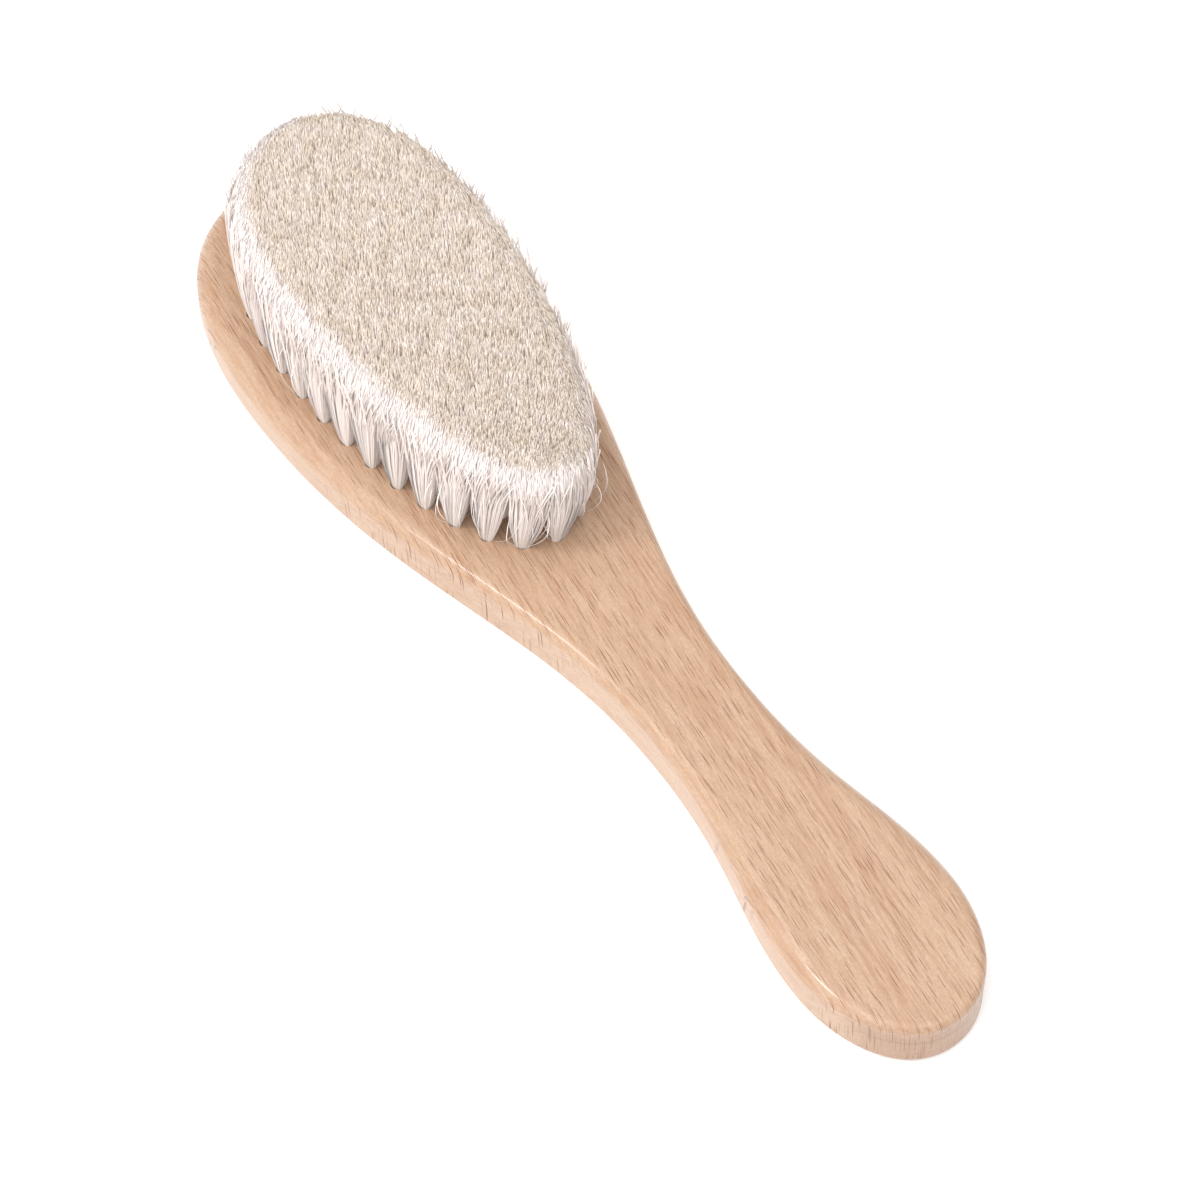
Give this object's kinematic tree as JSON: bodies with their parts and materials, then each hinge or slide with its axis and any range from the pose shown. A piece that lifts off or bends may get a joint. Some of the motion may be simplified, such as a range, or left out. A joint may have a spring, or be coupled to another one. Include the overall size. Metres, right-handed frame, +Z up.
{
  "type": "clothes brush",
  "caption": "Soft clothes brush: flat beech paddle with a swelling handle and an egg-shaped field of upright goat-hair tufts set in blind holes.",
  "frame": {"origin": "centre of the object's bounding box in X and Y, at the underside of the flat wooden back (z = 0)", "axes": "+X points from the bristle head to the handle end, +Z up from the flat back through the paddle to the bristle tips, +Y across the paddle, right handed"},
  "size_m": [0.18, 0.0472, 0.0366],
  "materials": {
    "beech": "pale steamed beech, sanded and clear satin lacquered, fine dark pore flecks",
    "goat_hair": "ivory white soft goat hair, straw-tinted at the cut tips",
    "anchor_wire": "plain flat anchor wire"
  },
  "bodies": {
    "root": {"brush_body": "beech", "outer_tuft_01": "goat_hair", "outer_tuft_02": "goat_hair", "outer_tuft_03": "goat_hair", "outer_tuft_04": "goat_hair", "outer_tuft_05": "goat_hair", "outer_tuft_06": "goat_hair", "outer_tuft_07": "goat_hair", "outer_tuft_08": "goat_hair", "outer_tuft_09": "goat_hair", "outer_tuft_10": "goat_hair", "outer_tuft_11": "goat_hair", "outer_tuft_12": "goat_hair", "outer_tuft_13": "goat_hair", "outer_tuft_14": "goat_hair", "outer_tuft_15": "goat_hair", "outer_tuft_16": "goat_hair", "outer_tuft_17": "goat_hair", "outer_tuft_18": "goat_hair", "outer_tuft_19": "goat_hair", "outer_tuft_20": "goat_hair", "outer_tuft_21": "goat_hair", "outer_tuft_22": "goat_hair", "outer_tuft_23": "goat_hair", "outer_tuft_24": "goat_hair", "outer_tuft_25": "goat_hair", "outer_tuft_26": "goat_hair", "outer_tuft_27": "goat_hair", "outer_tuft_28": "goat_hair", "outer_tuft_29": "goat_hair", "outer_tuft_30": "goat_hair", "outer_tuft_31": "goat_hair", "outer_tuft_32": "goat_hair", "second_ring_tufts": "goat_hair", "third_ring_tufts": "goat_hair", "centre_row_tufts": "goat_hair", "outer_anchor_01": "anchor_wire", "outer_anchor_02": "anchor_wire", "outer_anchor_03": "anchor_wire", "outer_anchor_04": "anchor_wire", "outer_anchor_05": "anchor_wire", "outer_anchor_06": "anchor_wire", "outer_anchor_07": "anchor_wire", "outer_anchor_08": "anchor_wire", "outer_anchor_17": "anchor_wire", "outer_anchor_18": "anchor_wire", "outer_anchor_19": "anchor_wire", "outer_anchor_20": "anchor_wire", "outer_anchor_21": "anchor_wire", "outer_anchor_22": "anchor_wire", "outer_anchor_23": "anchor_wire", "outer_anchor_24": "anchor_wire", "outer_anchor_25": "anchor_wire", "outer_anchor_26": "anchor_wire", "outer_anchor_27": "anchor_wire", "outer_anchor_28": "anchor_wire", "outer_anchor_29": "anchor_wire", "outer_anchor_30": "anchor_wire", "outer_anchor_31": "anchor_wire", "outer_anchor_32": "anchor_wire"}
  },
  "joints": []
}
